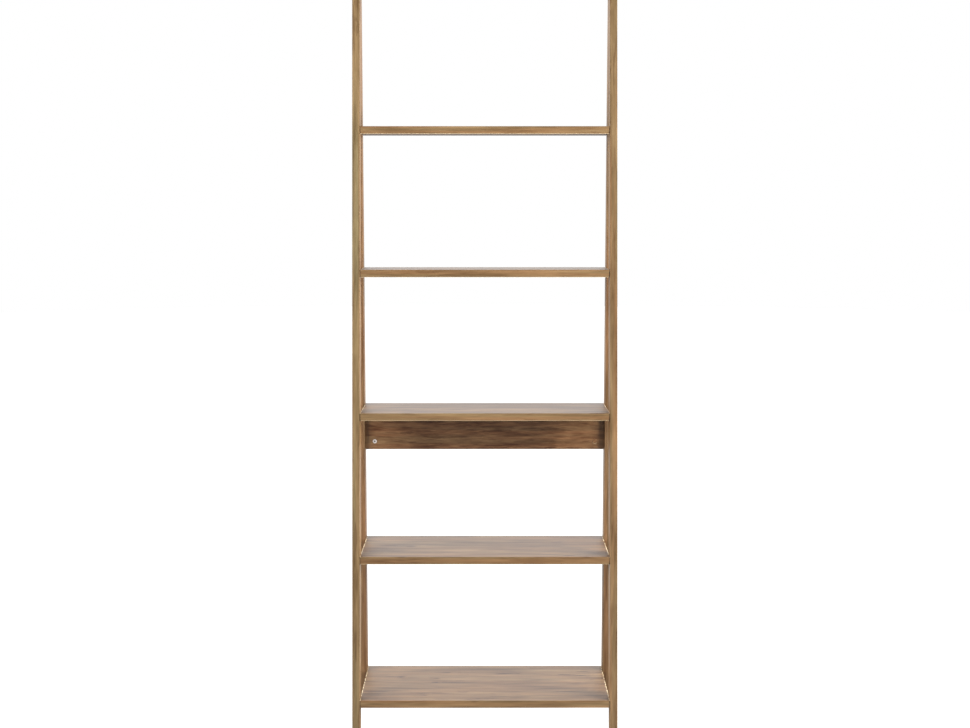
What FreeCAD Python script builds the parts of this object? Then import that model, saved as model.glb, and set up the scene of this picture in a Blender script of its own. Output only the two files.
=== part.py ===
import FreeCAD, Part
import os

import Sketcher

# A ladder shelf: two leaning front posts and two upright back posts carry six shelves, which get
# deeper towards the floor.  A rail between the back posts braces the frame under the third shelf.
# Frame: +Z up, +X to the viewer's right, the front faces -Y.  The origin is on the floor, in the
# middle of the width and of the depth at the floor.  Millimetres.

DIMENSIONS = {
    # the whole frame
    "overall_height": 1800.0,
    "inner_width": 600.0,
    "floor_depth": 265.0,
    "crown_depth": 56.0,
    "post_thickness": 18.0,
    "post_depth": 40.0,
    "arris_radius": 0.8,
    # the shelves and the rail
    "shelf_thickness": 18.0,
    "lowest_shelf_top": 90.0,
    "rail_height": 95.0,
    "rail_thickness": 18.0,
    # connecting screws, from outside through the posts into the shelf ends
    "screw_length": 50.0,
    "screw_shank_diameter": 7.0,
    "screw_thread_diameter": 5.0,
    "screw_head_diameter": 10.0,
    "screw_head_height": 2.5,
    "screw_point_length": 3.0,
    "screw_socket_diameter": 4.2,
    "screw_socket_depth": 2.4,
    "screw_clearance": 0.3,
    # press-on caps over the screw heads
    "cap_overlap": 1.0,
    "cap_rise": 1.2,
    "cap_stud_diameter": 4.0,
    "cap_stud_length": 2.0,
    "cap_edge_radius": 0.7,
    # cam joint and dowel at each end of the rail
    "cam_diameter": 10.0,
    "cam_length": 12.0,
    "cam_clearance": 0.2,
    "cam_from_end": 24.0,
    "cam_above_bottom": 20.0,
    "cam_cross_length": 6.6,
    "cam_cross_width": 1.5,
    "cam_cross_depth": 2.0,
    "cam_socket_diameter": 3.6,
    "cam_socket_depth": 2.6,
    "cam_cover_overlap": 1.0,
    "cam_cover_rise": 1.0,
    "cam_cover_stud_diameter": 1.5,
    "cam_cover_stud_length": 1.5,
    "bolt_thread_diameter": 5.0,
    "bolt_thread_length": 11.0,
    "bolt_shank_diameter": 7.0,
    "bolt_neck_diameter": 3.6,
    "bolt_head_diameter": 6.4,
    "bolt_head_length": 2.6,
    "dowel_diameter": 8.0,
    "dowel_length": 30.0,
    "dowel_in_post": 10.0,
    "dowel_below_top": 20.0,
    "dowel_end_chamfer": 1.0,
    # wood screws where the back post's tapered end lies against the front post
    "apex_screw_length": 50.0,
    "apex_screw_diameter": 4.5,
    "apex_screw_head_diameter": 8.5,
    "apex_screw_head_height": 3.0,
    "apex_screw_point_length": 6.0,
    "apex_screw_cross_length": 4.4,
    "apex_screw_cross_width": 1.1,
    "apex_screw_cross_depth": 2.0,
    "apex_screw_first": 65.0,
    "apex_screw_spacing": 85.0,
    # nylon glides
    "glide_diameter": 16.0,
    "glide_height": 3.0,
    "glide_edge_bevel": 1.0,
    "glide_spike_diameter": 4.0,
    "glide_spike_length": 12.0,
    # room past the end of every blind hole
    "hole_end_clearance": 1.0,
}

SHELF_NAMES = ("bottom", "second", "third", "fourth", "fifth", "top")
RAIL_SHELF = 2
SIDES = (("left", -1), ("right", 1))
POSTS = ("front", "back")

doc = FreeCAD.newDocument("ladder_shelf")
sheet = doc.addObject("Spreadsheet::Sheet", "dims")


def fill_sheet():
    """One row for each driving dimension: its name, its value, and the value's alias."""
    for row, (alias, value) in enumerate(DIMENSIONS.items(), start=1):
        sheet.set(f"A{row}", alias)
        sheet.set(f"B{row}", str(value))
        sheet.setAlias(f"B{row}", alias)
    doc.recompute()


# ---------------------------------------------------------------- places, as expressions

POST_FOOT = "dims.glide_height"
LEAN = f"((dims.floor_depth - dims.crown_depth) / (dims.overall_height - {POST_FOOT}))"
FLOOR_FRONT = "(-dims.floor_depth / 2)"
REAR = "(dims.floor_depth / 2)"
POST_WIDTH_LEVEL = f"(dims.post_depth * sqrt(1 + {LEAN}^2))"
SHELF_PITCH = f"((dims.overall_height - dims.lowest_shelf_top) / {len(SHELF_NAMES) - 1})"


def front_line(height):
    """How far back the front posts' front face is at a height."""
    return f"({FLOOR_FRONT} + ({height} - {POST_FOOT}) * {LEAN})"


def contact_line(height):
    """How far back the front posts' rear face is at a height."""
    return f"({front_line(height)} + {POST_WIDTH_LEVEL})"


def back_post_front(height):
    """The back posts' front face, which the front posts push back near the crown."""
    return f"max({REAR} - dims.post_depth; {contact_line(height)})"


def shelf_top(index):
    return f"(dims.lowest_shelf_top + {index} * {SHELF_PITCH})"


def shelf_bottom(index):
    return f"({shelf_top(index)} - dims.shelf_thickness)"


def screw_height(index):
    return f"({shelf_top(index)} - dims.shelf_thickness / 2)"


def screw_place(post, index):
    """Middle of a post's depth at a shelf's screws."""
    height = screw_height(index)
    if post == "front":
        return f"({front_line(height)} + {POST_WIDTH_LEVEL} / 2)"
    return f"(({back_post_front(height)} + {REAR}) / 2)"


BACK_POST_MIDDLE = f"({REAR} - dims.post_depth / 2)"
RAIL_TOP = shelf_bottom(RAIL_SHELF)
RAIL_BOTTOM = f"({RAIL_TOP} - dims.rail_height)"
RAIL_FRONT = f"({BACK_POST_MIDDLE} - dims.rail_thickness / 2)"
CAM_HEIGHT = f"({RAIL_BOTTOM} + dims.cam_above_bottom)"
DOWEL_HEIGHT = f"({RAIL_TOP} - dims.dowel_below_top)"


def apex_screw_height(index):
    return f"(dims.overall_height - dims.apex_screw_first - {index} * dims.apex_screw_spacing)"


def inner_face(sign):
    return f"({sign} * dims.inner_width / 2)"


def outer_face(sign):
    return f"({sign} * (dims.inner_width / 2 + dims.post_thickness))"


def post_middle(sign):
    return f"({sign} * (dims.inner_width / 2 + dims.post_thickness / 2))"


# ---------------------------------------------------------------- building blocks

def new_body(label):
    body = doc.addObject("PartDesign::Body", label)
    body.Label = label
    return body


def new_sketch(body, name, role, offset=None):
    """A sketch on one of the body's origin planes, moved along the plane's normal."""
    sketch = body.newObject("Sketcher::SketchObject", name)
    plane = [item for item in body.Origin.OriginFeatures if item.Role == role][0]
    sketch.AttachmentSupport = [(plane, "")]
    sketch.MapMode = "FlatFace"
    if offset:
        sketch.setExpression("AttachmentOffset.Base.z", offset)
    return sketch


def bind_point(sketch, geometry, vertex, across, up):
    """Ties a sketch point to two expressions, measured from the sketch's origin."""
    for kind, expression in (("DistanceX", across), ("DistanceY", up)):
        index = sketch.addConstraint(Sketcher.Constraint(kind, -1, 1, geometry, vertex, 1.0))
        sketch.setExpression(f"Constraints[{index}]", expression)


def value_of(expression):
    """The number that an expression gives now, so that a sketch starts near its solution."""
    return float(sheet.evalExpression(expression))


def outline(sketch, corners):
    """A closed outline of straight lines through corners given as expressions."""
    points = [FreeCAD.Vector(value_of(a), value_of(b), 0) for a, b in corners]
    count = len(points)
    for i in range(count):
        sketch.addGeometry(Part.LineSegment(points[i], points[(i + 1) % count]))
    for i in range(count):
        sketch.addConstraint(Sketcher.Constraint("Coincident", i, 2, (i + 1) % count, 1))
    for i, (across, up) in enumerate(corners):
        bind_point(sketch, i, 1, across, up)


def circles(sketch, places, diameter):
    """Circles of one diameter, at places given as expressions."""
    radius = value_of(diameter) / 2
    for across, up in places:
        centre = FreeCAD.Vector(value_of(across), value_of(up), 0)
        circle = sketch.addGeometry(Part.Circle(centre, FreeCAD.Vector(0, 0, 1), radius))
        bind_point(sketch, circle, 3, across, up)
        index = sketch.addConstraint(Sketcher.Constraint("Diameter", circle, 2 * radius))
        sketch.setExpression(f"Constraints[{index}]", diameter)


def pad(body, sketch, length, midplane=False, reverse=False):
    feature = body.newObject("PartDesign::Pad", "Pad")
    feature.Profile = sketch
    feature.setExpression("Length", length)
    feature.Midplane = midplane
    feature.Reversed = reverse
    doc.recompute()


def round_all_edges(body, radius):
    solid = body.Tip
    feature = body.newObject("PartDesign::Fillet", "ArrisRounding")
    feature.Base = (solid, [""])
    feature.UseAllEdges = True
    feature.setExpression("Radius", radius)
    doc.recompute()


def check_cut(body, volume_before, name):
    """A cut that points away from the solid removes nothing, so its volume is compared."""
    doc.recompute()
    if body.Shape.Volume > volume_before - 1:
        raise RuntimeError(f"{body.Label}: {name} cuts nothing")


def pocket(body, sketch, depth, reverse=False, midplane=False):
    """Cuts a sketch into the body, against the sketch's normal unless reversed."""
    before = body.Shape.Volume
    feature = body.newObject("PartDesign::Pocket", "Pocket")
    feature.Profile = sketch
    feature.Midplane = midplane
    feature.Reversed = reverse
    feature.setExpression("Length", depth)
    check_cut(body, before, sketch.Name)


def countersunk_holes(body, sketch, shank, head, head_height, reverse):
    """Through holes with a cone for a flush screw head."""
    before = body.Shape.Volume
    feature = body.newObject("PartDesign::Hole", "Hole")
    feature.Profile = sketch
    feature.Reversed = reverse
    feature.DepthType = "ThroughAll"
    feature.HoleCutType = "Countersink"
    feature.setExpression("Diameter", f"{shank} + dims.screw_clearance")
    feature.setExpression("HoleCutDiameter", f"{head} + dims.screw_clearance")
    angle = f"2 * atan(({head} - {shank}) / 2 / {head_height})"
    feature.setExpression("HoleCutCountersinkAngle", angle)
    check_cut(body, before, sketch.Name)


def turned_body(label, corners):
    """A round piece about its own Z axis, from (radius, height) corners."""
    body = new_body(label)
    sketch = new_sketch(body, f"{label}_profile", "XZ_Plane")
    outline(sketch, corners)
    feature = body.newObject("PartDesign::Revolution", "Revolution")
    feature.Profile = sketch
    feature.ReferenceAxis = (sketch, ["V_Axis"])
    doc.recompute()
    return body


def driver_cross(body, role, name, reverse=False):
    """A cross-shaped recess for a driver, as two slots."""
    arm = f"dims.{name}_cross_length / 2"
    half = f"dims.{name}_cross_width / 2"
    for slot_name, wide, high in (("level", arm, half), ("upright", half, arm)):
        slot = new_sketch(body, f"{body.Label}_{slot_name}_slot", role)
        outline(slot, [(f"-{wide}", f"-{high}"), (wide, f"-{high}"),
                       (wide, high), (f"-{wide}", high)])
        pocket(body, slot, f"dims.{name}_cross_depth", reverse)


def place(item, across, back, up):
    for axis, expression in (("x", across), ("y", back), ("z", up)):
        item.setExpression(f"Placement.Base.{axis}", expression)


def aim(item, direction):
    """Turns a piece that was drawn along +Z so that it points another way."""
    turn = FreeCAD.Rotation(FreeCAD.Vector(0, 0, 1), FreeCAD.Vector(*direction))
    item.Placement = FreeCAD.Placement(item.Placement.Base, turn)


# ---------------------------------------------------------------- the frame's posts

def shelf_screw_holes(body, post, sign):
    """Countersunk holes in a post's outer face, one at each shelf."""
    offset = f"{sign} * dims.post_thickness / 2"
    sketch = new_sketch(body, f"{body.Label}_screw_holes", "YZ_Plane", offset)
    places = [(screw_place(post, i), screw_height(i)) for i in range(len(SHELF_NAMES))]
    circles(sketch, places, "dims.screw_shank_diameter")
    countersunk_holes(body, sketch, "dims.screw_shank_diameter", "dims.screw_head_diameter",
                      "dims.screw_head_height", reverse=sign < 0)


def glide_hole(body, middle):
    sketch = new_sketch(body, f"{body.Label}_glide_hole", "XY_Plane", POST_FOOT)
    circles(sketch, [("0", middle)], "dims.glide_spike_diameter")
    depth = "dims.glide_spike_length + dims.hole_end_clearance"
    pocket(body, sketch, depth, reverse=True)


def front_post_middle():
    return f"({front_line(POST_FOOT)} + {POST_WIDTH_LEVEL} / 2)"


def make_front_post(side, sign):
    """A leaning board, cut level at the floor and at the crown."""
    body = new_body(f"front_post_{side}")
    place(body, post_middle(sign), "0", "0")
    sketch = new_sketch(body, f"{body.Label}_outline", "YZ_Plane")
    crown = "dims.overall_height"
    outline(sketch, [(front_line(POST_FOOT), POST_FOOT), (contact_line(POST_FOOT), POST_FOOT),
                     (contact_line(crown), crown), (front_line(crown), crown)])
    pad(body, sketch, "dims.post_thickness", midplane=True)
    round_all_edges(body, "dims.arris_radius")
    shelf_screw_holes(body, "front", sign)
    glide_hole(body, front_post_middle())
    holes = new_sketch(body, f"{body.Label}_apex_holes", "XZ_Plane", f"-{REAR}")
    circles(holes, [("0", apex_screw_height(i)) for i in range(2)], "dims.apex_screw_diameter")
    pocket(body, holes, "dims.apex_screw_length + dims.hole_end_clearance", reverse=True)
    return body


def taper_crown(body):
    """Cuts the upright post's front away where the leaning post lies against it."""
    front = f"({REAR} - dims.post_depth)"
    start = f"({POST_FOOT} + (dims.floor_depth - dims.post_depth - {POST_WIDTH_LEVEL}) / {LEAN})"
    above = "(dims.overall_height + dims.post_depth)"
    sketch = new_sketch(body, f"{body.Label}_taper", "YZ_Plane")
    outline(sketch, [(front, start), (contact_line(above), above), (front, above)])
    pocket(body, sketch, "2 * dims.post_thickness", midplane=True)


def rail_joint_holes(body, sign):
    """Blind holes in an upright post's inner face, for the rail's bolt and dowel."""
    offset = f"{-sign} * dims.post_thickness / 2"
    for name, height, diameter, depth in (
            ("bolt", CAM_HEIGHT, "dims.bolt_thread_diameter", "dims.bolt_thread_length"),
            ("dowel", DOWEL_HEIGHT, "dims.dowel_diameter", "dims.dowel_in_post")):
        sketch = new_sketch(body, f"{body.Label}_{name}_hole", "YZ_Plane", offset)
        circles(sketch, [(BACK_POST_MIDDLE, height)], diameter)
        pocket(body, sketch, f"{depth} + dims.hole_end_clearance", reverse=sign > 0)


def make_back_post(side, sign):
    """An upright board whose crown is tapered to lie against the leaning post."""
    body = new_body(f"back_post_{side}")
    place(body, post_middle(sign), "0", "0")
    front = f"({REAR} - dims.post_depth)"
    crown = "dims.overall_height"
    sketch = new_sketch(body, f"{body.Label}_outline", "YZ_Plane")
    outline(sketch, [(front, POST_FOOT), (REAR, POST_FOOT), (REAR, crown), (front, crown)])
    pad(body, sketch, "dims.post_thickness", midplane=True)
    round_all_edges(body, "dims.arris_radius")
    taper_crown(body)
    shelf_screw_holes(body, "back", sign)
    rail_joint_holes(body, sign)
    glide_hole(body, BACK_POST_MIDDLE)
    holes = new_sketch(body, f"{body.Label}_apex_holes", "XZ_Plane", f"-{REAR}")
    circles(holes, [("0", apex_screw_height(i)) for i in range(2)], "dims.apex_screw_diameter")
    countersunk_holes(body, holes, "dims.apex_screw_diameter", "dims.apex_screw_head_diameter",
                      "dims.apex_screw_head_height", reverse=True)
    return body


# ---------------------------------------------------------------- shelves and rail

def end_holes(body, name, sign, places, diameter, depth):
    """Blind holes in a board's end face."""
    sketch = new_sketch(body, f"{body.Label}_{name}", "YZ_Plane", inner_face(sign))
    circles(sketch, places, diameter)
    pocket(body, sketch, depth, reverse=sign < 0)


def make_shelf(index, name):
    """A board from the upright posts' rear face to the leaning posts' front face."""
    body = new_body(f"{name}_shelf")
    sketch = new_sketch(body, f"{body.Label}_outline", "XY_Plane", shelf_bottom(index))
    front = front_line(shelf_top(index))
    outline(sketch, [(inner_face(-1), front), (inner_face(1), front),
                     (inner_face(1), REAR), (inner_face(-1), REAR)])
    pad(body, sketch, "dims.shelf_thickness")
    round_all_edges(body, "dims.arris_radius")
    places = [(screw_place(post, index), screw_height(index)) for post in POSTS]
    depth = "dims.screw_length - dims.post_thickness + dims.hole_end_clearance"
    for side, sign in SIDES:
        end_holes(body, f"{side}_pilots", sign, places, "dims.screw_thread_diameter", depth)
    return body


def cam_place(sign):
    return f"({sign} * (dims.inner_width / 2 - dims.cam_from_end))"


def make_rail():
    """The bracing board under the third shelf, with a cam joint and a dowel at each end."""
    body = new_body("back_rail")
    sketch = new_sketch(body, "back_rail_outline", "XY_Plane", RAIL_BOTTOM)
    back = f"({RAIL_FRONT} + dims.rail_thickness)"
    outline(sketch, [(inner_face(-1), RAIL_FRONT), (inner_face(1), RAIL_FRONT),
                     (inner_face(1), back), (inner_face(-1), back)])
    pad(body, sketch, "dims.rail_height")
    round_all_edges(body, "dims.arris_radius")
    cams = new_sketch(body, "back_rail_cam_holes", "XZ_Plane", f"-{RAIL_FRONT}")
    circles(cams, [(cam_place(sign), CAM_HEIGHT) for side, sign in SIDES],
            "dims.cam_diameter + dims.cam_clearance")
    pocket(body, cams, "dims.cam_length + dims.cam_clearance")
    bolt_hole = "dims.bolt_shank_diameter + dims.cam_clearance"
    dowel_depth = "dims.dowel_length - dims.dowel_in_post + dims.hole_end_clearance"
    for side, sign in SIDES:
        end_holes(body, f"{side}_bolt_hole", sign, [(BACK_POST_MIDDLE, CAM_HEIGHT)],
                  bolt_hole, "dims.cam_from_end")
        end_holes(body, f"{side}_dowel_hole", sign, [(BACK_POST_MIDDLE, DOWEL_HEIGHT)],
                  "dims.dowel_diameter", dowel_depth)
    return body


# ---------------------------------------------------------------- the rail's fittings

def make_cam(side, sign):
    """A cam lock: a disc with a driver's cross and socket, hollowed for the bolt's neck and head."""
    body = new_body(f"rail_cam_{side}")
    place(body, cam_place(sign), RAIL_FRONT, CAM_HEIGHT)
    disc = new_sketch(body, f"{body.Label}_disc", "XZ_Plane")
    circles(disc, [("0", "0")], "dims.cam_diameter")
    pad(body, disc, "dims.cam_length", reverse=True)
    driver_cross(body, "XZ_Plane", "cam")
    socket = new_sketch(body, f"{body.Label}_socket", "XZ_Plane")
    circles(socket, [("0", "0")], "dims.cam_socket_diameter")
    pocket(body, socket, "dims.cam_socket_depth")
    middle = [("dims.rail_thickness / 2", "0")]
    head = new_sketch(body, f"{body.Label}_head_room", "YZ_Plane")
    circles(head, middle, "dims.bolt_head_diameter + dims.cam_clearance")
    pocket(body, head, "dims.bolt_head_length + dims.cam_clearance", midplane=True)
    neck = new_sketch(body, f"{body.Label}_neck_room", "YZ_Plane")
    circles(neck, middle, "dims.bolt_neck_diameter + dims.cam_clearance")
    pocket(body, neck, "dims.cam_diameter", reverse=sign > 0)
    return body


def make_bolt(side, sign):
    """The cam's bolt: threaded into the post, its head held inside the cam."""
    shank_end = "-(dims.cam_from_end - dims.cam_diameter / 2 - dims.cam_clearance)"
    head_start = "-(dims.cam_from_end - dims.bolt_head_length / 2)"
    head_end = "-(dims.cam_from_end + dims.bolt_head_length / 2)"
    thread = "dims.bolt_thread_diameter / 2"
    shank = "dims.bolt_shank_diameter / 2"
    neck = "dims.bolt_neck_diameter / 2"
    head = "dims.bolt_head_diameter / 2"
    body = turned_body(f"rail_bolt_{side}", [
        ("0", "dims.bolt_thread_length"), (thread, "dims.bolt_thread_length"), (thread, "0"),
        (shank, "0"), (shank, shank_end), (neck, shank_end), (neck, head_start),
        (head, head_start), (head, head_end), ("0", head_end)])
    aim(body, (sign, 0, 0))
    place(body, inner_face(sign), BACK_POST_MIDDLE, CAM_HEIGHT)
    return body


def make_dowel(side, sign):
    """A wooden dowel across the joint between the rail and an upright post."""
    radius = "dims.dowel_diameter / 2"
    end = "(dims.dowel_diameter / 2 - dims.dowel_end_chamfer)"
    length = "dims.dowel_length"
    chamfer = "dims.dowel_end_chamfer"
    body = turned_body(f"rail_dowel_{side}", [
        ("0", "0"), (end, "0"), (radius, chamfer), (radius, f"{length} - {chamfer}"),
        (end, length), ("0", length)])
    aim(body, (-sign, 0, 0))
    start = f"{sign} * (dims.inner_width / 2 + dims.dowel_in_post)"
    place(body, start, BACK_POST_MIDDLE, DOWEL_HEIGHT)
    return body


def cover_body(label, diameter, rise, stud_diameter, stud_length):
    """A flat button on a stud, its rim rounded; the stud points along +Z."""
    rim = f"{diameter} / 2"
    stud = f"{stud_diameter} / 2"
    body = turned_body(label, [
        ("0", f"-{rise}"), (rim, f"-{rise}"), (rim, "0"), (stud, "0"),
        (stud, stud_length), ("0", stud_length)])
    lowest = body.Shape.BoundBox.ZMin
    edges = [f"Edge{i}" for i, edge in enumerate(body.Shape.Edges, start=1)
             if edge.BoundBox.ZMax < lowest + 0.01 and edge.isClosed()]
    solid = body.Tip
    fillet = body.newObject("PartDesign::Fillet", f"{label}_rim")
    fillet.Base = (solid, edges)
    fillet.setExpression("Radius", "dims.cap_edge_radius")
    doc.recompute()
    return body


def make_cam_cover(side, sign):
    diameter = "(dims.cam_diameter + 2 * dims.cam_cover_overlap)"
    body = cover_body(f"rail_cam_cover_{side}", diameter, "dims.cam_cover_rise",
                      "dims.cam_cover_stud_diameter", "dims.cam_cover_stud_length")
    aim(body, (0, 1, 0))
    place(body, cam_place(sign), RAIL_FRONT, CAM_HEIGHT)
    return body


# ---------------------------------------------------------------- screws, caps and glides

def make_screw_pattern():
    """The connecting screw: flush head with a socket, plain shank, thread, short point."""
    head = "dims.screw_head_diameter / 2"
    shank = "dims.screw_shank_diameter / 2"
    thread = "dims.screw_thread_diameter / 2"
    socket = "dims.screw_socket_diameter / 2"
    point = "(dims.screw_length - dims.screw_point_length)"
    return turned_body("connecting_screw", [
        (socket, "0"), (head, "0"), (shank, "dims.screw_head_height"),
        (shank, "dims.post_thickness"), (thread, "dims.post_thickness"), (thread, point),
        ("0", "dims.screw_length"), ("0", "dims.screw_socket_depth"),
        (socket, "dims.screw_socket_depth")])


def make_cap_pattern():
    diameter = "(dims.screw_head_diameter + 2 * dims.cap_overlap)"
    return cover_body("press_on_cap", diameter, "dims.cap_rise",
                      "dims.cap_stud_diameter", "dims.cap_stud_length")


def make_apex_screw_pattern():
    """A countersunk wood screw with a cross recess for the driver."""
    head = "dims.apex_screw_head_diameter / 2"
    shank = "dims.apex_screw_diameter / 2"
    point = "(dims.apex_screw_length - dims.apex_screw_point_length)"
    body = turned_body("apex_screw", [
        ("0", "0"), (head, "0"), (shank, "dims.apex_screw_head_height"), (shank, point),
        ("0", "dims.apex_screw_length")])
    driver_cross(body, "XY_Plane", "apex_screw", reverse=True)
    return body


def group(label, pattern, direction_places):
    """Copies of one pattern piece as the separate solids of one node."""
    copies = []
    for number, (direction, spot) in enumerate(direction_places, start=1):
        copy = doc.addObject("App::Link", f"{label}_{number}")
        copy.LinkedObject = pattern
        aim(copy, direction)
        place(copy, *spot)
        copies.append(copy)
    compound = doc.addObject("Part::Compound", label)
    compound.Label = label
    compound.Links = copies
    return compound


def shelf_fixings(index):
    """Where the four screws of a shelf start, on the posts' outer faces, and their way in."""
    return [((-sign, 0, 0), (outer_face(sign), screw_place(post, index), screw_height(index)))
            for side, sign in SIDES for post in POSTS]


def make_apex_screws(side, sign, pattern):
    spots = [((0, -1, 0), (post_middle(sign), REAR, apex_screw_height(i))) for i in range(2)]
    return group(f"apex_screws_{side}", pattern, spots)


def make_glide(post, side, sign):
    """A nylon glide with a spike that is driven into the post's foot."""
    radius = "dims.glide_diameter / 2"
    flat = f"({radius} - dims.glide_edge_bevel)"
    spike = "dims.glide_spike_diameter / 2"
    height = "dims.glide_height"
    body = turned_body(f"{post}_glide_{side}", [
        ("0", "0"), (flat, "0"), (radius, "dims.glide_edge_bevel"), (radius, height),
        (spike, height), (spike, f"{height} + dims.glide_spike_length - {spike}"),
        ("0", f"{height} + dims.glide_spike_length")])
    middle = front_post_middle() if post == "front" else BACK_POST_MIDDLE
    place(body, post_middle(sign), middle, "0")
    return body


# ---------------------------------------------------------------- the whole shelf

def make_nodes():
    nodes = []
    for side, sign in SIDES:
        nodes.append(make_front_post(side, sign))
        nodes.append(make_back_post(side, sign))
    for index, name in enumerate(SHELF_NAMES):
        nodes.append(make_shelf(index, name))
    nodes.append(make_rail())
    for side, sign in SIDES:
        nodes.append(make_cam(side, sign))
        nodes.append(make_bolt(side, sign))
        nodes.append(make_dowel(side, sign))
    nodes.append(make_cam_cover("right", 1))
    screw = make_screw_pattern()
    cap = make_cap_pattern()
    for index, name in enumerate(SHELF_NAMES):
        nodes.append(group(f"{name}_shelf_screws", screw, shelf_fixings(index)))
        nodes.append(group(f"{name}_shelf_caps", cap, shelf_fixings(index)))
    apex_screw = make_apex_screw_pattern()
    for side, sign in SIDES:
        nodes.append(make_apex_screws(side, sign, apex_screw))
        for post in POSTS:
            nodes.append(make_glide(post, side, sign))
    return nodes


def check(nodes):
    """Stops before anything is written if an object failed or a shape isn't sound."""
    doc.recompute()
    for item in doc.Objects:
        if "Invalid" in item.State or "Error" in item.State:
            raise RuntimeError(f"{item.Label}: {item.State}")
    labels = [node.Label for node in nodes]
    if len(set(labels)) != len(labels):
        raise RuntimeError("two sub-parts share a label")
    for node in nodes:
        if node.Shape.isNull() or not node.Shape.isValid() or not node.Shape.Solids:
            raise RuntimeError(f"{node.Label}: the shape isn't sound")


def export(nodes):
    os.makedirs("parts", exist_ok=True)
    for node in nodes:
        node.Shape.exportStep(f"parts/{node.Label}.step")
        box = node.Shape.BoundBox
        print(f"{node.Label:26s} solids {len(node.Shape.Solids)}  volume {node.Shape.Volume:10.0f}  "
              f"x {box.XMin:7.1f} {box.XMax:7.1f}  y {box.YMin:7.1f} {box.YMax:7.1f}  "
              f"z {box.ZMin:7.1f} {box.ZMax:7.1f}")


fill_sheet()
sub_parts = make_nodes()
check(sub_parts)
export(sub_parts)
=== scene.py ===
"""Looks of the ladder shelf: a procedural material for every CAD node, and a pale studio."""

import math

import bmesh
import bpy
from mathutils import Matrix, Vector


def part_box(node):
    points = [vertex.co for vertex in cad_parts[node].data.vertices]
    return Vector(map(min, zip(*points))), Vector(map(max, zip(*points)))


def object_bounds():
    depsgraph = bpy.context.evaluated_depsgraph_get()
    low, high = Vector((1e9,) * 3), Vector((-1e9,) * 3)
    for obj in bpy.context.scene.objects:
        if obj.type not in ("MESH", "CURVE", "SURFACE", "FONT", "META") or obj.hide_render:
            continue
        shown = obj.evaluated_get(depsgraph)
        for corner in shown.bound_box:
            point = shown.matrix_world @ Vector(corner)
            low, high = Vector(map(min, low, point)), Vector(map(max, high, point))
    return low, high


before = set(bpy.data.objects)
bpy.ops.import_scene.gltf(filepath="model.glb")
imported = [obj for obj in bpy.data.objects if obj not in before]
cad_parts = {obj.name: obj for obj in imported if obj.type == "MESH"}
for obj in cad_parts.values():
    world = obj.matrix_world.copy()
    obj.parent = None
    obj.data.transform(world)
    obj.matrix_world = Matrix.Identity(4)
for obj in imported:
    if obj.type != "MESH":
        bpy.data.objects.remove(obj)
cad_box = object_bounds()

SHELVES = ("bottom", "second", "third", "fourth", "fifth", "top")
SIDES = ("left", "right")
POSTS = ("front", "back")


# ---------------------------------------------------------------- node-tree helpers

class Tree:
    """A short way to write the nodes of a material or world: each call makes nodes and links them."""

    def __init__(self, owner):
        self.owner = owner
        owner.use_nodes = True
        self.nodes = owner.node_tree.nodes
        self.links = owner.node_tree.links

    def add(self, kind, inputs=None, **settings):
        node = self.nodes.new(kind)
        for key, value in settings.items():
            setattr(node, key, value)
        for key, value in (inputs or {}).items():
            self.feed(node.inputs[key], value)
        return node

    def feed(self, socket, value):
        if isinstance(value, bpy.types.NodeSocket):
            self.links.new(value, socket)
        else:
            socket.default_value = value

    def math(self, operation, a, b=0.0):
        return self.add("ShaderNodeMath", {0: a, 1: b}, operation=operation).outputs[0]

    def object_place(self):
        return self.add("ShaderNodeTexCoord").outputs["Object"]

    def axes(self, vector):
        """The vector's X, Y and Z, by name."""
        return self.add("ShaderNodeSeparateXYZ", {"Vector": vector}).outputs

    def ramp(self, factor, *stops):
        """Straight lines of grey through (place, value) stops."""
        node = self.add("ShaderNodeValToRGB", {"Fac": factor})
        elements = node.color_ramp.elements
        while len(elements) < len(stops):
            elements.new(0.5)
        for element, (place, value) in zip(elements, stops):
            element.position = place
            element.color = (value, value, value, 1.0)
        return node.outputs["Color"]

    def rise(self, factor, span):
        """Zero below the span, one above it."""
        low, high = span
        return self.ramp(factor, (low, 0.0), (high, 1.0))

    def stretched(self, vector, along, across):
        """Scales a grain space: few repeats a metre along the board, many across it."""
        mapping = self.add("ShaderNodeMapping", {"Vector": vector, "Scale": (along, across, across)})
        return mapping.outputs["Vector"]

    def noise(self, vector, scale, detail=2.0, roughness=0.5, distortion=0.0):
        node = self.add("ShaderNodeTexNoise", {
            "Vector": vector, "Scale": scale, "Detail": detail,
            "Roughness": roughness, "Distortion": distortion})
        return node.outputs["Fac"]

    def mix(self, factor, a, b):
        node = self.add("ShaderNodeMix", {"Factor": factor}, data_type="RGBA")
        self.feed(node.inputs["A"], a)
        self.feed(node.inputs["B"], b)
        return node.outputs["Result"]

    def wandering(self, factor, value, spread):
        """A value that the factor moves by half a spread, up and down."""
        return self.math("ADD", self.math("MULTIPLY", factor, spread), value - spread / 2)

    def bump(self, height, strength, distance):
        node = self.add("ShaderNodeBump", {
            "Strength": strength, "Distance": distance, "Height": height})
        return node.outputs["Normal"]

    def surface(self, **inputs):
        """Ends a material in one shader, whose inputs are named with underscores for spaces."""
        shader = self.add("ShaderNodeBsdfPrincipled")
        for key, value in inputs.items():
            self.feed(shader.inputs[key.replace("_", " ")], value)
        output = self.add("ShaderNodeOutputMaterial")
        self.links.new(shader.outputs["BSDF"], output.inputs["Surface"])
        return self.owner


def material_tree(name):
    """The empty tree of a new material."""
    tree = Tree(bpy.data.materials.new(name))
    tree.nodes.clear()
    return tree


def tinted(color, *tints):
    """A colour times any number of tints, with full alpha."""
    return tuple(math.prod(parts) for parts in zip(color, *tints)) + (1.0,)


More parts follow.
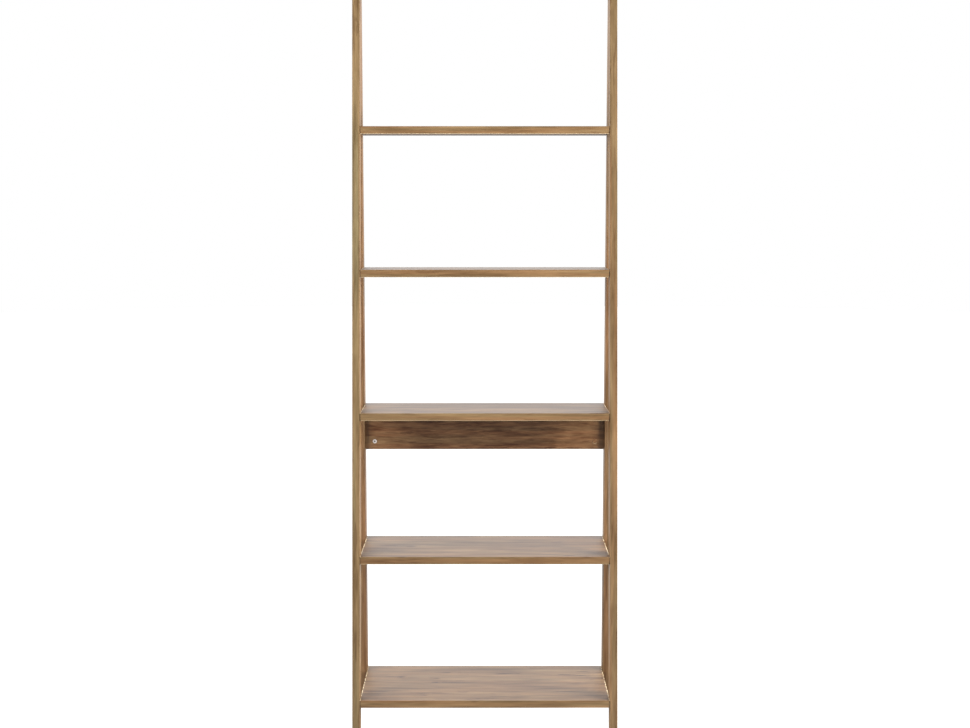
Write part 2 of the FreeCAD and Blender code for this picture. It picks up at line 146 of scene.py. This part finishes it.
def dress(node_name, material):
    """Gives a CAD node its finished material."""
    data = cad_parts[node_name].data
    data.materials.clear()
    data.materials.append(material)


# ---------------------------------------------------------------- oak-effect board

# The foil's mean colour, and what its print makes of it: a dark and a light tone each for the
# narrow edges and the wide faces, two drifts of hue, cracks and knots; and a pale painted
# highlight on the lower arrises and at the ends, and a dark painted shade in the joints at the ends.
OAK = (0.138, 0.072, 0.0255)
EDGE_TONES = ((0.52, 0.46, 0.38), (1.48, 1.54, 1.62))
WIDE_TONES = ((0.32, 0.16, 0.02), (1.68, 1.84, 1.98))
WARM = (1.05, 0.97, 0.94)
OLIVE = (0.96, 1.02, 1.03)
CRACK_TONE = (0.28, 0.12, 0.02)
KNOT_TONE = (0.46, 0.28, 0.10)
# The dark painted shade in the joints at the boards' ends.
JOINT_SHADE = (0.020, 0.011, 0.006, 1.0)
# The pale of the painted highlights on the lower arrises and at the ends.
HIGHLIGHT_CREAM = (0.54, 0.43, 0.27, 1.0)

# Tints of the narrow edges and of the wide faces. The rail's are darker than the shelves': a
# painted shade, for the shade under the shelf above it.
SHELF_TINTS = ((0.79, 0.88, 1.10), (0.73, 0.75, 0.89))
RAIL_SHADED_TINTS = ((0.66, 0.63, 0.76), (0.64, 0.61, 0.74))
# The posts' wide-face tints are paler and bluer than their edges': a painted sheen, for the grazing
# reflection on their sides. Part of the blue and green in the tints is a painted sheen too, in place
# of the softboxes' white reflection, which glossy rays don't see.
FRONT_POST_TINTS = {"left": ((0.73, 0.95, 1.24), (1.10, 1.22, 1.52)),
                    "right": ((0.80, 0.92, 1.19), (1.10, 1.22, 1.52))}
BACK_POST_TINTS = ((0.75, 0.80, 1.03), (1.00, 1.05, 1.25))

# Each layer of the grain: repeats a metre along and across it, detail, roughness, distortion.
GRAIN = {
    "bands": ((1.4, 26.0), 2.0, 0.5, 0.4),
    "figure": ((5.0, 72.0), 2.0, 0.5, 0.5),
    "streaks": ((10.0, 170.0), 3.0, 0.6, 0.6),
    "fibres": ((30.0, 560.0), 3.0, 0.65, 0.0),
    "cracks": ((9.0, 110.0), 3.0, 0.6, 0.8),
    "patches": ((3.5, 18.0), 1.0, 0.5, 0.0),
    "hue": ((2.2, 110.0), 1.0, 0.5, 0.0)}
FINER_LAYERS = ("figure", "streaks", "cracks")
TONE_SHARES = {"bands": 0.16, "figure": 0.34, "streaks": 0.28, "fibres": 0.22}
TONE_SPAN = (0.37, 0.63)
HUE_SPAN = (0.40, 0.60)
CRACK_SPAN = (0.58, 0.62)
CRACK_PATCH_SPAN = (0.46, 0.56)

# How dark the cracks are on the narrow edges and on the rail, and how much finer the rail's grain
# is along and across it.
EDGE_CRACKS = 0.35
RAIL_CRACKS = 0.45
RAIL_FINER = (2.8, 1.5)

KNOT_CELLS = (3.2, 9.5)
KNOT_CHANCE_SPAN = (0.50, 0.52)
KNOT_HEART = ((0.025, 1.0), (0.06, 0.0))
KNOT_SURROUND = ((0.0, 1.0), (0.05, 0.75), (0.16, 0.0))
KNOT_BULGE = 0.012

FACE_SPAN = (0.60, 0.80)
ARRIS_SPAN = (0.10, 0.30)
# How strongly the lower arrises take their pale painted highlight.
ARRIS_HIGHLIGHT = 0.8
END_SPAN = (0.0, 0.3)
# The pale painted highlight dashes at the ends: their width in metres and their noise span.
END_HIGHLIGHT_WIDTH = 0.0022
END_HIGHLIGHT_SPAN = (0.44, 0.50)
# The width of the painted shade in the joint at the ends.
JOINT_SHADE_WIDTH = 0.0016

OAK_ROUGHNESS = 0.5
OAK_ROUGHNESS_SPREAD = 0.12
OAK_IOR = 1.5
FIBRE_HEIGHT = 0.6

# Every bump: its strength and its depth in metres.
PRINT_BUMP = (0.25, 0.0002)

# How far apart in the grain's space two boards with neighbouring seeds are.
SEED_STEP = (7.3, 3.1, 1.7)


def board_vector(tree, along, lean, seed):
    """Object position turned so that X runs along the grain, and shifted to a place of its own."""
    turn = {"x": (0.0, 0.0, 0.0), "z": (lean, math.pi / 2, 0.0)}[along]
    shift = [step * seed for step in SEED_STEP]
    mapping = tree.add("ShaderNodeMapping", {
        "Vector": tree.object_place(), "Rotation": turn, "Location": shift}, vector_type="POINT")
    return mapping.outputs["Vector"]


def face_masks(tree, wide_axis):
    """Masks of the board's wide faces, of its faces to the front and back, and of its long lower
    arrises, from the surface's normal."""
    normal = tree.axes(tree.add("ShaderNodeNewGeometry").outputs["Normal"])
    wide = tree.math("ABSOLUTE", normal[wide_axis])
    front = tree.math("ABSOLUTE", normal["Y"])
    lower = tree.math("MULTIPLY", front, tree.math("MULTIPLY", normal["Z"], -1.0))
    return tree.rise(wide, FACE_SPAN), tree.rise(front, FACE_SPAN), tree.rise(lower, ARRIS_SPAN)


def end_mask(tree, reach, width):
    """One within a width of the board's two ends, which lie at plus and minus the reach."""
    off = tree.math("ABSOLUTE", tree.axes(tree.object_place())["X"])
    past = tree.math("SUBTRACT", off, reach - width)
    return tree.rise(tree.math("MULTIPLY", past, 1.0 / width), END_SPAN)


def knots(tree, vector):
    """Sparse long knots: a mask of their dark hearts, and one of the grain that bulges round them."""
    cells = tree.add("ShaderNodeTexVoronoi", {
        "Vector": tree.stretched(vector, *KNOT_CELLS), "Scale": 1.0}, voronoi_dimensions="2D")
    lot = tree.add("ShaderNodeSeparateColor", {"Color": cells.outputs["Color"]}).outputs["Red"]
    chosen = tree.rise(lot, KNOT_CHANCE_SPAN)
    heart = tree.ramp(cells.outputs["Distance"], *KNOT_HEART)
    near = tree.ramp(cells.outputs["Distance"], *KNOT_SURROUND)
    return tree.math("MULTIPLY", heart, chosen), tree.math("MULTIPLY", near, chosen)


def bulged(tree, vector, bulge):
    """Moves the grain sideways where the bulge is."""
    parts = tree.axes(vector)
    across = tree.math("ADD", parts["Y"], tree.math("MULTIPLY", bulge, KNOT_BULGE))
    joined = tree.add("ShaderNodeCombineXYZ", {"X": parts["X"], "Y": across, "Z": parts["Z"]})
    return joined.outputs["Vector"]


def grain_layers(tree, vector, finer):
    """The noise of every layer of the grain. Finer multiplies the repeats along and across the
    board, in the layers that it holds for."""
    layers = {}
    for layer, (repeats, *shape) in GRAIN.items():
        if layer in FINER_LAYERS:
            repeats = [repeat * times for repeat, times in zip(repeats, finer)]
        layers[layer] = tree.noise(tree.stretched(vector, *repeats), 1.0, *shape)
    return layers


def crack_mask(tree, grain, wide, cracked):
    """Short cracks that come in patches, as dark on the wide faces as cracked says."""
    mask = tree.math("MULTIPLY", tree.rise(grain["cracks"], CRACK_SPAN),
                     tree.rise(grain["patches"], CRACK_PATCH_SPAN))
    strength = tree.add("ShaderNodeMapRange", {
        "Value": wide, "To Min": EDGE_CRACKS, "To Max": cracked}).outputs["Result"]
    return tree.math("MULTIPLY", mask, strength)


def ended(tree, color, reach, wide, front, grain):
    """Paints pale highlight dashes on the wide faces at the ends, and a dark painted shade in the
    joint at the ends in front.
    """
    # Pale painted highlight dashes on the wide faces at the ends.
    end_highlights = tree.math("MULTIPLY", end_mask(tree, reach, END_HIGHLIGHT_WIDTH),
                      tree.rise(grain["cracks"], END_HIGHLIGHT_SPAN))
    color = tree.mix(tree.math("MULTIPLY", end_highlights, wide), color, HIGHLIGHT_CREAM)
    # A dark painted shade in the joint where the board's end meets the post, in front.
    joint_shade = tree.math("MULTIPLY", end_mask(tree, reach, JOINT_SHADE_WIDTH), front)
    return tree.mix(joint_shade, color, JOINT_SHADE)


def oak(name, along, wide_axis, tints, seed, lean=0.0, reach=None, finer=(1.0, 1.0), cracked=1.0):
    """Printed oak foil: slow bands, streaks, fine fibres, short dark cracks and a few knots. The
    wide faces take another tint than the edge tape. A board with a reach lies along X, and its ends
    show. Finer is how much shorter and thinner the streaks are, and cracked is how dark the wide
    faces' cracks are."""
    tree = material_tree(name)
    vector = board_vector(tree, along, lean, seed)
    wide, front, lower_arris = face_masks(tree, wide_axis)
    heart, bulge = (tree.math("MULTIPLY", mask, wide) for mask in knots(tree, vector))
    grain = grain_layers(tree, bulged(tree, vector, bulge), finer)
    cracks = crack_mask(tree, grain, wide, cracked)
    warmth = tree.rise(grain["hue"], HUE_SPAN)
    tone = 0.0
    for layer, share in TONE_SHARES.items():
        tone = tree.math("ADD", tone, tree.math("MULTIPLY", grain[layer], share))
    tone = tree.rise(tone, TONE_SPAN)

    def drifting(tint, level):
        return tree.mix(warmth, tinted(OAK, tint, WARM, level), tinted(OAK, tint, OLIVE, level))

    def printed(tint, tones):
        dark, light = (drifting(tint, level) for level in tones)
        color = tree.mix(tone, dark, light)
        color = tree.mix(cracks, color, tinted(OAK, tint, CRACK_TONE))
        return tree.mix(heart, color, tinted(OAK, tint, KNOT_TONE))

    edge_tint, wide_tint = tints
    color = tree.mix(wide, printed(edge_tint, EDGE_TONES), printed(wide_tint, WIDE_TONES))
    # A pale painted highlight along the long lower arrises.
    color = tree.mix(tree.math("MULTIPLY", lower_arris, ARRIS_HIGHLIGHT), color, HIGHLIGHT_CREAM)
    if reach:
        color = ended(tree, color, reach, wide, front, grain)
    height = tree.math("SUBTRACT", tree.math("MULTIPLY", grain["fibres"], FIBRE_HEIGHT), cracks)
    return tree.surface(
        Base_Color=color, IOR=OAK_IOR, Normal=tree.bump(height, *PRINT_BUMP),
        Roughness=tree.wandering(grain["fibres"], OAK_ROUGHNESS, OAK_ROUGHNESS_SPREAD))


# ---------------------------------------------------------------- metal, plastic and beech

ZINC = (0.52, 0.49, 0.47)
STEEL = (0.60, 0.59, 0.55)
# The dark painted shade in the cam's socket.
SOCKET_SHADE = (0.03, 0.025, 0.02, 1.0)
BROWN_CAP = (0.13, 0.075, 0.035)
NYLON = (0.045, 0.032, 0.024)
BEECH = (0.55, 0.38, 0.21, 1.0)
BEECH_FLECK = (0.42, 0.27, 0.14, 1.0)
CAM_METALLIC = 0.35
CAM_SOCKET_SHARE = 0.42
SOCKET_EDGE = ((0.85, 1.0), (1.0, 0.0))

# Each metal's roughness and its grains a metre, and the detail and roughness of their noise.
ZINC_FINISH = (0.38, 900.0)
STEEL_FINISH = (0.32, 940.0)
METAL_GRAIN = (3.0, 0.6)
METAL_ROUGHNESS_SPREAD = 0.2
METAL_BUMP = (0.2, 0.00005)

CAP_ROUGHNESS = 0.45
NYLON_ROUGHNESS = 0.5
PLASTIC_GRAINS = 2200.0
PLASTIC_ROUGHNESS_SPREAD = 0.16
PLASTIC_BUMP = (0.3, 0.00004)

# Soft blotches: their repeats a metre, and how much of the colour is left in the darkest.
METAL_BLOTCHES = (90.0, 0.82)
PLASTIC_BLOTCHES = (60.0, 0.85)

# The flecks: repeats a metre along and across the grain, and the detail of their noise.
FLECK_REPEATS = (60.0, 1200.0)
FLECK_DETAIL = 3.0
BEECH_ROUGHNESS = 0.65
BEECH_ROUGHNESS_SPREAD = 0.1
BEECH_BUMP = (0.3, 0.0001)


def blotched(tree, place, color, repeats, darkest):
    """The colour in soft blotches, the darkest of which are a share of it."""
    return tree.mix(tree.noise(place, repeats), tinted(color), tinted(color, [darkest] * 3))


def socket_mask(tree, middle, radius):
    """One within a radius of an axis along Y through the middle."""
    off = tree.add("ShaderNodeVectorMath", {0: tree.object_place(), 1: middle}, operation="SUBTRACT")
    off = tree.axes(off.outputs["Vector"])
    flat = tree.add("ShaderNodeCombineXYZ", {"X": off["X"], "Z": off["Z"]}).outputs["Vector"]
    length = tree.add("ShaderNodeVectorMath", {0: flat}, operation="LENGTH").outputs["Value"]
    return tree.ramp(tree.math("DIVIDE", length, radius), *SOCKET_EDGE)


def metal(name, color, roughness, grains_per_metre, metallic=1.0, socket=None):
    """Plated metal, with a dark painted shade in a socket given by its middle and radius."""
    tree = material_tree(name)
    place = tree.object_place()
    grains = tree.noise(place, grains_per_metre, *METAL_GRAIN)
    color = blotched(tree, place, color, *METAL_BLOTCHES)
    if socket:
        # Painted shade in the socket.
        color = tree.mix(socket_mask(tree, *socket), color, SOCKET_SHADE)
    return tree.surface(Base_Color=color, Metallic=metallic,
                        Roughness=tree.wandering(grains, roughness, METAL_ROUGHNESS_SPREAD),
                        Normal=tree.bump(grains, *METAL_BUMP))


def plastic(name, color, roughness):
    """Moulded plastic with a fine grain."""
    tree = material_tree(name)
    place = tree.object_place()
    grains = tree.noise(place, PLASTIC_GRAINS)
    return tree.surface(Base_Color=blotched(tree, place, color, *PLASTIC_BLOTCHES),
                        Roughness=tree.wandering(grains, roughness, PLASTIC_ROUGHNESS_SPREAD),
                        Normal=tree.bump(grains, *PLASTIC_BUMP))


def beech(name):
    """Bare beech, with its short flecks along X."""
    tree = material_tree(name)
    place = tree.stretched(tree.object_place(), *FLECK_REPEATS)
    flecks = tree.noise(place, 1.0, FLECK_DETAIL)
    return tree.surface(Base_Color=tree.mix(flecks, BEECH, BEECH_FLECK),
                        Roughness=tree.wandering(flecks, BEECH_ROUGHNESS, BEECH_ROUGHNESS_SPREAD),
                        Normal=tree.bump(flecks, *BEECH_BUMP))


# ---------------------------------------------------------------- finishing each node

def front_lean():
    """How far the front posts lean back, as an angle from upright."""
    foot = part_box("front_post_left")[0]
    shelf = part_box("top_shelf")
    return math.atan((shelf[0][1] - foot[1]) / (shelf[1][2] - foot[2]))


def dress_boards():
    """Every board has a seed of its own, so that no two show the same grain."""
    for number, side in enumerate(SIDES):
        dress(f"front_post_{side}", oak(f"oak_front_{side}", "z", "X", FRONT_POST_TINTS[side],
                                        1.0 + number, lean=front_lean()))
        dress(f"back_post_{side}", oak(f"oak_back_{side}", "z", "X", BACK_POST_TINTS, 3.0 + number))
    for number, name in enumerate(SHELVES):
        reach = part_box(f"{name}_shelf")[1][0]
        dress(f"{name}_shelf", oak(f"oak_{name}_shelf", "x", "Z", SHELF_TINTS, 5.0 + number,
                                   reach=reach))
    # The rail's darker tints are a painted shade; the right cam cover takes them too.
    rail = oak("oak_rail", "x", "Y", RAIL_SHADED_TINTS, 12.0, finer=RAIL_FINER, cracked=RAIL_CRACKS)
    dress("back_rail", rail)
    dress("rail_cam_cover_right", rail)


def dress_cam(side):
    """A dull zinc cam, with a dark painted shade in the socket at its middle."""
    low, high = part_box(f"rail_cam_{side}")
    middle = [(a + b) / 2 for a, b in zip(low, high)]
    radius = CAM_SOCKET_SHARE * (high[0] - low[0]) / 2
    dress(f"rail_cam_{side}", metal(f"zinc_alloy_{side}", ZINC, *ZINC_FINISH,
                                    metallic=CAM_METALLIC, socket=(middle, radius)))


def dress_fittings():
    steel = metal("zinc_plated_steel", STEEL, *STEEL_FINISH)
    cap = plastic("brown_cap", BROWN_CAP, CAP_ROUGHNESS)
    nylon = plastic("nylon_glide", NYLON, NYLON_ROUGHNESS)
    wood = beech("beech_dowel")
    for side in SIDES:
        dress_cam(side)
        dress(f"rail_bolt_{side}", steel)
        dress(f"rail_dowel_{side}", wood)
        dress(f"apex_screws_{side}", steel)
        for post in POSTS:
            dress(f"{post}_glide_{side}", nylon)
    for name in SHELVES:
        dress(f"{name}_shelf_screws", steel)
        dress(f"{name}_shelf_caps", cap)


# ---------------------------------------------------------------- studio

WHITE = (1.0, 1.0, 1.0, 1.0)

# Each studio wall: the axis it stands on and which way, and how bright it is. The back wall gets
# brighter upwards.
WALLS = {"front": ("Y", -1.0, 0.15), "back": ("Y", 1.0, 0.35), "left": ("X", -1.0, 0.6),
         "right": ("X", 1.0, 0.8), "above": ("Z", 1.0, 0.3)}
BACK_RISE = 7.4
WORLD_SEEN = 1.0

# The floor's own glow goes from its front to its back value over a stretch along Y.
FLOOR_RADIUS = 14.0
FLOOR_SIDES = 96
FLOOR_GAP = 0.0005
FLOOR_GREY = (0.20, 0.20, 0.20, 1.0)
FLOOR_SEEN = 0.93
FLOOR_FRONT = 0.08
FLOOR_BACK = 0.7
FLOOR_STRETCH = (0.1, 1.6)

# Each softbox: its place and its power in watts. Both look at the same point.
SOFTBOXES = {"left": ((-2.45, -1.45, 1.75), 222.0), "right": ((2.8, -1.2, 1.27), 392.0)}
SOFTBOX_SIZE = (1.6, 2.2)
SOFTBOX_AIM = (0.0, 0.0, 0.9)

CAMERA_PLACE = (-0.0048, -3.353, 1.2762)
CAMERA_LENS = 51.81
CAMERA_SENSOR = 36.0
CAMERA_REACH = 60.0
CAMERA_DOWN = math.radians(6.6)
CAMERA_RIGHT = math.radians(0.089)


def make_floor():
    """A plain pale floor, brighter behind the shelf. The camera sees it near white, so that only a
    faint shadow shows."""
    mesh = bpy.data.meshes.new("floor")
    shape = bmesh.new()
    bmesh.ops.create_circle(shape, cap_ends=True, segments=FLOOR_SIDES, radius=FLOOR_RADIUS)
    bmesh.ops.translate(shape, verts=shape.verts, vec=(0.0, 0.0, cad_box[0][2] - FLOOR_GAP))
    shape.to_mesh(mesh)
    shape.free()
    floor = bpy.data.objects.new("floor", mesh)
    bpy.context.scene.collection.objects.link(floor)
    tree = material_tree("floor_paper")
    near, far = FLOOR_STRETCH
    glow = tree.add("ShaderNodeMapRange", {
        "Value": tree.axes(tree.object_place())["Y"], "From Min": near, "From Max": far,
        "To Min": FLOOR_FRONT, "To Max": FLOOR_BACK}, interpolation_type="SMOOTHSTEP")
    seen = tree.add("ShaderNodeLightPath").outputs["Is Camera Ray"]
    glow = tree.add("ShaderNodeMix", {"Factor": seen, "A": glow.outputs["Result"], "B": FLOOR_SEEN})
    mesh.materials.append(tree.surface(
        Base_Color=FLOOR_GREY, Roughness=1.0, Emission_Color=WHITE,
        Emission_Strength=glow.outputs["Result"]))


def make_world():
    """Studio walls of unequal brightness. A ray's share of a wall is the square of how far it points
    at it, so the shares add up to one. The camera sees white."""
    world = bpy.data.worlds.new("studio")
    bpy.context.scene.world = world
    tree = Tree(world)
    background = tree.nodes["Background"]
    background.inputs["Color"].default_value = WHITE
    ray = tree.axes(tree.add("ShaderNodeTexCoord").outputs["Generated"])
    height = tree.math("MAXIMUM", ray["Z"], 0.0)
    glow = 0.0
    for wall, (axis, sign, brightness) in WALLS.items():
        share = tree.math("MAXIMUM", tree.math("MULTIPLY", ray[axis], sign), 0.0)
        share = tree.math("POWER", share, 2.0)
        if wall == "back":
            brightness = tree.math("ADD", tree.math("MULTIPLY", height, BACK_RISE), brightness)
        glow = tree.math("ADD", glow, tree.math("MULTIPLY", share, brightness))
    seen = tree.add("ShaderNodeLightPath").outputs["Is Camera Ray"]
    strength = tree.add("ShaderNodeMix", {"Factor": seen, "A": glow, "B": WORLD_SEEN})
    tree.links.new(strength.outputs["Result"], background.inputs["Strength"])


def make_softboxes():
    """Two large lights, which glossy rays don't see, so that they leave no glare on the boards."""
    for side, (place, power) in SOFTBOXES.items():
        light = bpy.data.lights.new(f"softbox_{side}", "AREA")
        light.shape = "RECTANGLE"
        light.size, light.size_y = SOFTBOX_SIZE
        light.energy = power
        lamp = bpy.data.objects.new(light.name, light)
        lamp.location = place
        lamp.rotation_euler = (Vector(SOFTBOX_AIM) - Vector(place)).to_track_quat("-Z", "Y").to_euler()
        lamp.visible_glossy = False
        bpy.context.scene.collection.objects.link(lamp)


def make_camera():
    """Nearly square on, at about two thirds of the shelf's height, and tilted down a little."""
    data = bpy.data.cameras.new("camera")
    data.sensor_width = CAMERA_SENSOR
    data.lens = CAMERA_LENS
    data.clip_end = CAMERA_REACH
    camera = bpy.data.objects.new("camera", data)
    camera.location = CAMERA_PLACE
    camera.rotation_euler = (math.pi / 2 - CAMERA_DOWN, 0.0, -CAMERA_RIGHT)
    bpy.context.scene.collection.objects.link(camera)
    bpy.context.scene.camera = camera


dress_boards()
dress_fittings()
make_floor()
make_world()
make_softboxes()
make_camera()
bpy.context.scene.view_settings.view_transform = "Standard"
